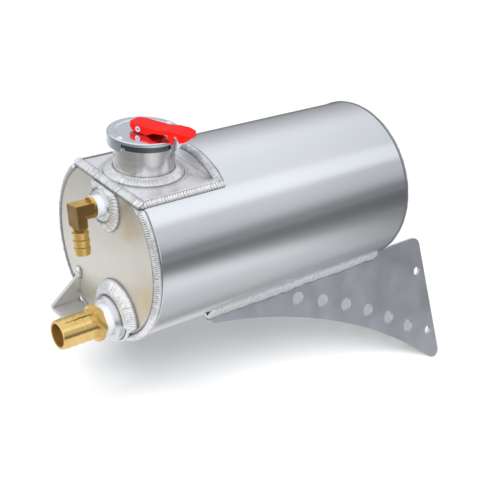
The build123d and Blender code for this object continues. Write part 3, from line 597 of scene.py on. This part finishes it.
def bead(name, node, toes, length, *, pitch, crown, ripple, seed, scallop=0.25, lean=0.55,
         closed=False, worked=1.0, wander=0.0, marks=(1.0, 1.0), dull=0.0):
    """Weld bead between two toe lines, which takes a CAD node's place if one is named.

    toes(t) gives both lines and the outward direction. pitch is the ripples' step and ripple
    their height, crown the bead's own height, scallop how far the ripples bulge past the toes
    and lean how far they trail at the toes. worked says how strongly the ripples stand out
    and dull how much greyer the bead is painted, partly its own tone and partly painted
    shade, each as one share or as share(t, v) along and across it. wander is how far its second
    toe strays, and marks how dark each toe's line is, partly oxide and partly painted shade.
    """
    count = max(3, round(length / pitch))
    rows = count * RIPPLE_STEPS + (0 if closed else 1)
    t = np.arange(rows) / (count * RIPPLE_STEPS)
    first, second, out = toes(t)
    out = np.asarray(out)
    across = second - first
    width = np.linalg.norm(across, axis=1, keepdims=True)
    across = across / width

    ripple_at = t * count
    random = np.random.default_rng(seed)
    beat = np.interp(ripple_at, np.arange(count + 1), np.concatenate(
        ([0], np.cumsum(random.normal(1, BEAT_SPREAD, count)))))
    beat *= count / beat.max()
    swell = at_ripples(ripple_at, random.normal(1, SWELL_SPREAD, count))[:, None]
    stray = wander * at_ripples(ripple_at, random.normal(0, 1, count))[:, None]
    strengths = at_ripples(ripple_at, random.uniform(*RIPPLE_STRENGTHS, count))

    ends = np.ones((rows, 1))
    if not closed:
        from_end = np.minimum(t, 1 - t)[:, None] * length / (END_SHARE * width)
        ends = np.sqrt(1 - (1 - np.clip(from_end, 0, 1)) ** 2)

    rings, valleys, edges, shades = [], [], [], []
    for v in np.linspace(0, 1, BEAD_STRIPS + 1):
        strength = (strengths * share_over(worked, t, v))[:, None]
        wave = 1 - strength * (1 - ripple_wave(beat - lean * (2 * v - 1) ** 2)[:, None])
        rise = (4 * v * (1 - v)) ** 0.5
        spread = scallop * (2 * v - 1) * wave * swell
        rippled = ripple * (wave - RIPPLE_LEVEL) * min(1, RIPPLE_RISE * rise)
        lift = (crown * swell * rise + rippled) * ends
        half = (v - 0.5) * width + spread + stray * v * v * ends
        rings.append(first + across * (0.5 * width + half * ends) + out * lift)
        valleys.append(np.clip(1 - wave[:, 0], 0, 1) ** VALLEY_POWER)
        edges.append(np.full(rows, max(0.0, marks[0] - TOE_FADE * v,
                                       marks[1] - TOE_FADE * (1 - v))))
        shades.append(share_over(dull, t, v))
    for v, side in ((1.0, 1), (0.0, -1)):
        rings.append(first + across * 0.5 * width * (1 + side * ends) - out * SINK * ends)
        valleys.append(np.zeros(rows))
        edges.append(np.ones(rows))
        shades.append(share_over(dull, t, v))

    obj = bpy.data.objects.new(name, bead_mesh(name, rings, closed, valley=valleys, toe=edges,
                                               dull=shades))
    bpy.context.collection.objects.link(obj)
    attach(obj, "tank")
    if node:
        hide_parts(node)


def points_at(x, y, z):
    """One point to each row, where a single number stands for every row."""
    return np.stack(np.broadcast_arrays(x, y, z), axis=1)


def ring_points(x, radius, angles, centre=(0.0, 0.0)):
    """Points of a circle round an axis along x."""
    return points_at(x, centre[0] + radius * np.cos(angles), centre[1] + radius * np.sin(angles))


def leaning(x, radial, angles):
    """Unit direction with a part along x and a part outwards from the axis."""
    size = math.hypot(x, radial)
    return ring_points(x / size, radial / size, angles)


RIM_ON_FACE = 4.8
RIM_ON_SHELL = 5.6
# The pan's edge: how low its bead's outer toe lies, and how far to each side.
PAN_BEAD_LOW = PAN_TOP - 4.2
PAN_BEAD_HALF = math.sqrt(TUBE_R ** 2 - PAN_BEAD_LOW ** 2)
PAN_HALF = 45.6
# Where the beads along the pan's sides start, and how much longer than the pan they are.
PAN_SIDE_FROM = 2.0
PAN_SIDE_EXTRA = 3.0
PAN_SIDE_OUT = (0.74, 0.67)


def corner_bead(name, node, face_x, start, end, seed, worked=1.0, dull=0.25):
    """Bead round the corner between a plate's face and the tube, between two angles."""
    def toes(t):
        a = np.radians(start + (end - start) * t)
        return (ring_points(face_x, TUBE_R - RIM_ON_FACE, a),
                ring_points(face_x + RIM_ON_SHELL, TUBE_R, a),
                leaning(-RIM_ON_FACE, RIM_ON_SHELL, a))

    arc = math.radians(abs(end - start)) * TUBE_R
    bead(name, node, toes, arc, pitch=1.9, crown=3.4, ripple=0.55, scallop=0.2, seed=seed,
         lean=0.9, worked=worked, dull=dull)


# Places along the front rim's bead: where its strong ripples start, and the middle of its patch
# of painted shade, which stands for the darker reflection there.
STRONG_FROM = 0.74
DARK_PATCH_AT = 0.90


def front_rim():
    """Bead round the front plate, from one end of the pan's edge to the other."""
    def worked(t, v):
        along = 0.3 + 1.3 * np.clip((t - STRONG_FROM) / 0.05, 0, 1)
        return along * np.clip((0.78 - v) / 0.2, 0.06, 1)

    # Painted shade: slightly greyer all along, and much greyer in a patch, for the darker
    # reflection there.
    def painted_dark_patch(t, v):
        along = np.exp(-((t - DARK_PATCH_AT) / 0.05) ** 2)
        return 0.12 + 0.6 * along * np.clip(1 - abs(v - 0.62) / 0.3, 0, 1)

    edge = math.degrees(math.asin(PAN_BEAD_LOW / TUBE_R))
    corner_bead("front_rim_bead", "weld_front_rim", 0.0, edge, -180 - edge, 3, worked, painted_dark_patch)


REAR_RIM_LEG = 3.4


def rear_rim():
    """Slimmer bead round the back plate."""
    def toes(t):
        a = np.radians(360 * t)
        return (ring_points(TUBE_END - REAR_RIM_LEG, TUBE_R, a),
                ring_points(TUBE_END, TUBE_R - REAR_RIM_LEG, a), leaning(1, 1, a))

    # Painted much greyer than the other beads: painted shade at the tube's far end.
    bead("rear_rim_bead", "weld_rear_rim", toes, 2 * math.pi * TUBE_R, pitch=2.6, crown=1.9,
         ripple=0.10, closed=True, seed=4, dull=0.85)


ARCH_FROM = 52.5


def recess_arch():
    """Bead over the recess wall, from one side of the pan to the other."""
    corner_bead("recess_arch_bead", "weld_recess_arch", PAN_BACK_X, 180 - ARCH_FROM, ARCH_FROM, 5)


PAN_FRONT_WIDE = 7.0
PAN_FRONT_OUT = (-0.514, 0.0, 0.857)


def pan_front():
    """Bead along the pan's front edge."""
    def toes(t):
        y = PAN_BEAD_HALF * (2 * t - 1)
        return (points_at(0.0, y, PAN_BEAD_LOW), points_at(PAN_FRONT_WIDE, y, PAN_TOP),
                PAN_FRONT_OUT)

    bead("pan_front_bead", "weld_pan", toes, 2 * PAN_BEAD_HALF, pitch=2.6, crown=3.0, ripple=0.4,
         scallop=0.4, seed=6)


def pan_side(name, side, seed):
    """Bead along one side of the pan, and a little way under the arch's end."""
    def toes(t):
        x = PAN_SIDE_FROM + (PAN_BACK_X + PAN_SIDE_EXTRA) * t
        return (points_at(x, side * PAN_BEAD_HALF, PAN_BEAD_LOW),
                points_at(x, side * PAN_HALF, PAN_TOP),
                (0.0, side * PAN_SIDE_OUT[0], PAN_SIDE_OUT[1]))

    bead(name, None, toes, PAN_BACK_X, pitch=2.4, crown=1.8, ripple=0.35, scallop=0.35, seed=seed)


NECK_TOE_R = 33.4
NECK_WALL_R = 24.9
NECK_CLIMB = 4.4
NECK_OUT = (0.44, 0.90)
# Radii at which the ripples round the neck and the two bungs are counted.
NECK_MEAN_R = 29
UPPER_MEAN_R = 19
LOWER_MEAN_R = 26


def neck_ring():
    """Fillet round the foot of the filler neck."""
    def toes(t):
        a = 2 * np.pi * t

        def circle(radius, z):
            return points_at(NECK.x + radius * np.cos(a), NECK.y + radius * np.sin(a), z)

        return (circle(NECK_TOE_R, PAN_TOP), circle(NECK_WALL_R, PAN_TOP + NECK_CLIMB),
                points_at(NECK_OUT[0] * np.cos(a), NECK_OUT[0] * np.sin(a), NECK_OUT[1]))

    bead("neck_bead", "weld_neck", toes, 2 * math.pi * NECK_MEAN_R, pitch=2.4, crown=0.9,
         ripple=0.35, scallop=0.3, closed=True, seed=7, worked=0.7)


# The bungs' radii, and how far out each fillet reaches on the front plate at least and at most.
# Each ends along its bung at its climb, the lower one's being up to LOWER_CLIMB_MORE further
# out where it is widest, and it leaves RIM_ROOM free inside the tube's edge.
UPPER_BUNG_R = 13.9
UPPER_TOE_R = (15.2, 23.0)
UPPER_CLIMB = -3.3
LOWER_BUNG_R = 19.4
LOWER_TOE_R = (20.6, 31.5)
LOWER_CLIMB = -1.5
LOWER_CLIMB_MORE = 6.0
RIM_ROOM = 6.5


def upper_bung_ring():
    """Fillet round the elbow's bung, cut short where it meets the pan's edge."""
    centre = (UPPER_BUNG.y, UPPER_BUNG.z)

    def toes(t):
        a = 2 * np.pi * t
        to_edge = np.where(np.sin(a) > 0.05,
                           (PAN_BEAD_LOW - centre[1]) / np.maximum(np.sin(a), 0.05), np.inf)
        toe = np.clip(to_edge, *UPPER_TOE_R)
        return (ring_points(0.0, toe, a, centre),
                ring_points(UPPER_CLIMB, UPPER_BUNG_R, a, centre), leaning(-0.93, 0.36, a))

    bead("upper_bung_bead", "weld_upper_bung", toes, 2 * math.pi * UPPER_MEAN_R, pitch=2.6,
         crown=1.9, ripple=0.35, scallop=0.3, closed=True, seed=8)


def lower_bung_ring():
    """Broad fillet round the outlet's bung, run out where it meets the rim."""
    centre = (LOWER_BUNG.y, LOWER_BUNG.z)

    def toes(t):
        a = 2 * np.pi * t
        along = centre[0] * np.cos(a) + centre[1] * np.sin(a)
        to_rim = -along + np.sqrt(along ** 2 + (TUBE_R - RIM_ROOM) ** 2 - centre[0] ** 2
                                  - centre[1] ** 2)
        toe = np.clip(to_rim, *LOWER_TOE_R)
        wide = np.clip((toe - LOWER_TOE_R[0]) / 10.0, 0.35, 1)
        climb = LOWER_CLIMB - LOWER_CLIMB_MORE * wide
        return (ring_points(0.0, toe, a, centre), ring_points(climb, LOWER_BUNG_R, a, centre),
                leaning(-0.80, 0.60, a))

    def worked(t, v):
        along = np.clip(0.5 + 0.8 * np.cos(2 * np.pi * (t - 0.60)), 0.1, 1)
        return along * np.clip((0.72 - v) / 0.15, 0.08, 1)

    bead("lower_bung_bead", "weld_lower_bung", toes, 2 * math.pi * LOWER_MEAN_R, pitch=1.8,
         crown=2.3, ripple=0.35, scallop=0.25, closed=True, seed=9, worked=worked)


# Where the bracket's near face meets the tube and how its plate leans, with the plate's
# thickness across it and along the tube's skin.
BRACKET_ROOT = math.radians(232)
BRACKET_TILT = math.radians(18.3)
BRACKET_THICK = 3.2
BRACKET_ON_TUBE = 3.6


def bracket_bead(name, node, start, end, on_plate, on_shell, side, seed):
    """Fillet along one side of the bracket's root; side is -1 for the near face."""
    root = np.array((0.0, TUBE_R * math.cos(BRACKET_ROOT), TUBE_R * math.sin(BRACKET_ROOT)))
    down = np.array((0.0, -math.sin(BRACKET_TILT), -math.cos(BRACKET_TILT)))
    behind = np.array((0.0, math.cos(BRACKET_TILT), -math.sin(BRACKET_TILT))) * BRACKET_THICK
    plate_toe = root + down * on_plate + (behind if side > 0 else 0)
    turn = BRACKET_ROOT + side * on_shell / TUBE_R + (BRACKET_ON_TUBE / TUBE_R if side > 0 else 0)
    shell_toe = np.array((0.0, TUBE_R * math.cos(turn), TUBE_R * math.sin(turn)))
    along = plate_toe - shell_toe
    out = np.cross((1.0, 0.0, 0.0), along / np.linalg.norm(along)) * side

    def toes(t):
        x = start + (end - start) * t
        return points_at(x, *shell_toe[1:]), points_at(x, *plate_toe[1:]), out

    bead(name, node, toes, end - start, pitch=5.5, crown=1.3, ripple=0.25, scallop=0.3,
         seed=seed, worked=0.22, wander=1.2, marks=(0.0, 1.9))


def upright_bead(name, node, top, length, first, second, out, **look):
    """Bead straight down from a height; first and second are its toes' x and y."""
    def toes(t):
        z = top - length * t
        return points_at(*first, z), points_at(*second, z), out

    bead(name, node, toes, length, **look)


def tab_beads():
    """Short bead on the far side of the tab's gusset, and the blob at its top."""
    y, top = reach("front_tab", Y), reach("front_tab", Z)
    upright_bead("tab_bead", "weld_tab", top + 1.0, 24.0, (-3.6, y), (0.0, y + 4.0),
                 (-0.707, 0.707, 0.0), pitch=2.4, crown=0.8, ripple=0.3, seed=12)
    upright_bead("tab_blob", None, top + 6.5, 11.5, (-0.1, y - 6.5), (-0.1, y + 3.5),
                 (-1.0, 0.0, 0.0), pitch=3.8, crown=3.4, ripple=0.3, scallop=0.2, seed=17)


def weld_beads():
    """All the beads; where one weld has two or three, the first stands for the CAD node."""
    front_rim()
    rear_rim()
    recess_arch()
    pan_front()
    pan_side("pan_near_bead", -1, 13)
    pan_side("pan_far_bead", 1, 14)
    neck_ring()
    upper_bung_ring()
    lower_bung_ring()
    bracket_bead("bracket_near_bead", "weld_bracket", 69.5, 275.5, 6.4, 10.5, -1, 15)
    bracket_bead("bracket_far_bead", None, 76.0, 274.0, 6.0, 5.0, 1, 16)
    tab_beads()


# ---------------------------------------------------------------- stage, light and camera

IMAGE = 480
FOCAL_PX = 937.0
SENSOR = 36.0
CAMERA_AT = (-344.77, -577.79, 376.56)
CAMERA_RIGHT = Vector((0.78481, -0.61618, 0.06632))
CAMERA_UP = Vector((0.24741, 0.40963, 0.87806))


def make_camera():
    """Camera with the photograph's place and angle."""
    data = bpy.data.cameras.new("camera")
    data.sensor_width = SENSOR
    data.lens = FOCAL_PX / IMAGE * SENSOR
    data.clip_end = 20
    cam = bpy.data.objects.new("camera", data)
    bpy.context.collection.objects.link(cam)
    back = CAMERA_RIGHT.cross(CAMERA_UP)
    turn = Matrix((CAMERA_RIGHT, CAMERA_UP, back)).transposed().to_4x4()
    cam.matrix_world = Matrix.Translation(place(*CAMERA_AT)) @ turn
    bpy.context.scene.camera = cam


def grey(value):
    return (value, value, value)


def cool(value):
    """A grey with a slight cold cast."""
    return (value, value * 1.01, value * 1.03)


FLOOR_HALF = 6.0
FLOOR_LIT = 0.92
FLOOR_GLOW = 0.10
FLOOR_IN_METAL = 0.42
# Brightness of the floor in the metal: FLOOR_AWAY by millimetres from FLOOR_FROM, with x, y and
# z counted by FLOOR_SHARES, times FLOOR_ACROSS by millimetres to the far side of the tank's
# axis, which sets in behind the front plate and is full from FACE_PAST on.
FLOOR_FROM = (60, 0, 0)
FLOOR_SHARES = (1, 0.55, 0)
FLOOR_REACH = 1000
FLOOR_AWAY = ((300, 0.86), (350, 0.74), (430, 0.52), (500, 0.34), (590, 0.30), (700, 0.21),
              (1000, 0.17))
FLOOR_NEAR, FLOOR_FAR = -300, 200
FLOOR_ACROSS = ((-300, 0.88), (-200, 0.70), (-110, 0.60), (-50, 0.40), (0, 0.85), (80, 1.2))
FACE_PAST = 90


def floor_in_metal(s):
    """Brightness that the metal shows, which FLOOR_IN_METAL splits into glow and colour."""
    far = s.levels(s.distance_to(FLOOR_FROM, FLOOR_SHARES), 0.0, 1.0, 0.0, FLOOR_REACH)
    away = s.ramp(far, *((distance / FLOOR_REACH, grey(v)) for distance, v in FLOOR_AWAY))
    across = s.ramp(s.along(Y, FLOOR_NEAR, FLOOR_FAR), *(
        ((y - FLOOR_NEAR) / (FLOOR_FAR - FLOOR_NEAR), grey(v)) for y, v in FLOOR_ACROSS))
    return s.product(away, s.mix(s.along(X, 0, FACE_PAST), grey(1.0), across))


def make_floor():
    """White floor that keeps the object's shadow; in the metal it darkens with distance."""
    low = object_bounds()[0].z
    mesh = bpy.data.meshes.new("floor")
    mesh.from_pydata([(x * FLOOR_HALF, y * FLOOR_HALF, low)
                      for x, y in ((-1, -1), (1, -1), (1, 1), (-1, 1))], [], [(0, 1, 2, 3)])
    floor = bpy.data.objects.new("floor", mesh)
    bpy.context.collection.objects.link(floor)
    s = Shader("floor_white")
    s.tree.nodes.remove(s.bsdf)
    path = s.node("ShaderNodeLightPath")
    glossy = path.outputs["Is Glossy Ray"]
    seen = floor_in_metal(s)
    diffuse = s.node("ShaderNodeBsdfDiffuse")
    s.link(s.mix(glossy, grey(FLOOR_LIT), s.product(seen, grey(1 - FLOOR_IN_METAL))),
           diffuse.inputs["Color"])
    glow = s.node("ShaderNodeEmission")
    s.link(s.mix(glossy, grey(FLOOR_GLOW), s.product(seen, grey(FLOOR_IN_METAL))),
           glow.inputs["Color"])
    s.link(s.maths("MAXIMUM", path.outputs["Is Camera Ray"], glossy), glow.inputs["Strength"])
    both = s.node("ShaderNodeAddShader")
    s.link(diffuse.outputs[0], both.inputs[0])
    s.link(glow.outputs[0], both.inputs[1])
    s.link(both.outputs[0], s.tree.nodes["Material Output"].inputs["Surface"])
    s.mat.cycles.emission_sampling = "NONE"
    mesh.materials.append(s.mat)


# Brightness of the surround from the far horizon over the top to the near horizon, in
# degrees, as long light and dark panels beside the tank would give.
SURROUND = ((0, 0.40), (11, 0.45), (23, 0.54), (35, 0.67), (47, 0.83), (59, 0.91), (95, 0.85),
            (112, 0.82), (116, 1.02), (134, 1.03), (141, 0.60), (148, 0.64), (158, 0.60),
            (167, 0.46), (173, 0.24), (180, 0.20))
AHEAD = 0.88
AMBIENT = 0.46


def make_world():
    """Soft surround: its brightness changes across the tank, and is even ahead of its face."""
    world = bpy.data.worlds.new("world")
    bpy.context.scene.world = world
    world.use_nodes = True
    n = Nodes(world.node_tree)
    direction = n.node("ShaderNodeTexCoord").outputs["Generated"]
    angle = n.maths("ARCTAN2", n.part(direction, Z), n.part(direction, Y))
    across = n.ramp(n.maths("DIVIDE", angle, math.pi), *(
        (degrees / 180, cool(value)) for degrees, value in SURROUND))
    ahead = n.levels(n.part(direction, X), 0.0, 1.0, -0.1, -0.5)
    background = n.tree.nodes["Background"]
    n.link(n.mix(ahead, across, cool(AHEAD)), background.inputs["Color"])
    path = n.node("ShaderNodeLightPath")
    n.link(n.levels(path.outputs["Is Diffuse Ray"], 1.0, AMBIENT), background.inputs["Strength"])
    world.cycles.sampling_method = "NONE"


LAMP_FROM = (-0.72, -0.66, 1.0)
LAMP_STRENGTH = 3.0
LAMP_SPREAD = 24


def make_lamp():
    """One wide, far lamp, which the metal doesn't mirror."""
    data = bpy.data.lights.new("overhead", "SUN")
    data.energy = LAMP_STRENGTH
    data.angle = math.radians(LAMP_SPREAD)
    lamp = bpy.data.objects.new("overhead", data)
    bpy.context.collection.objects.link(lamp)
    lamp.visible_glossy = False
    lamp.rotation_euler = (-Vector(LAMP_FROM)).to_track_quat("-Z", "Y").to_euler()


finish_nodes()
close_up_coils()
weld_beads()
make_camera()
make_floor()
make_world()
make_lamp()

bpy.context.scene.view_settings.view_transform = "Standard"
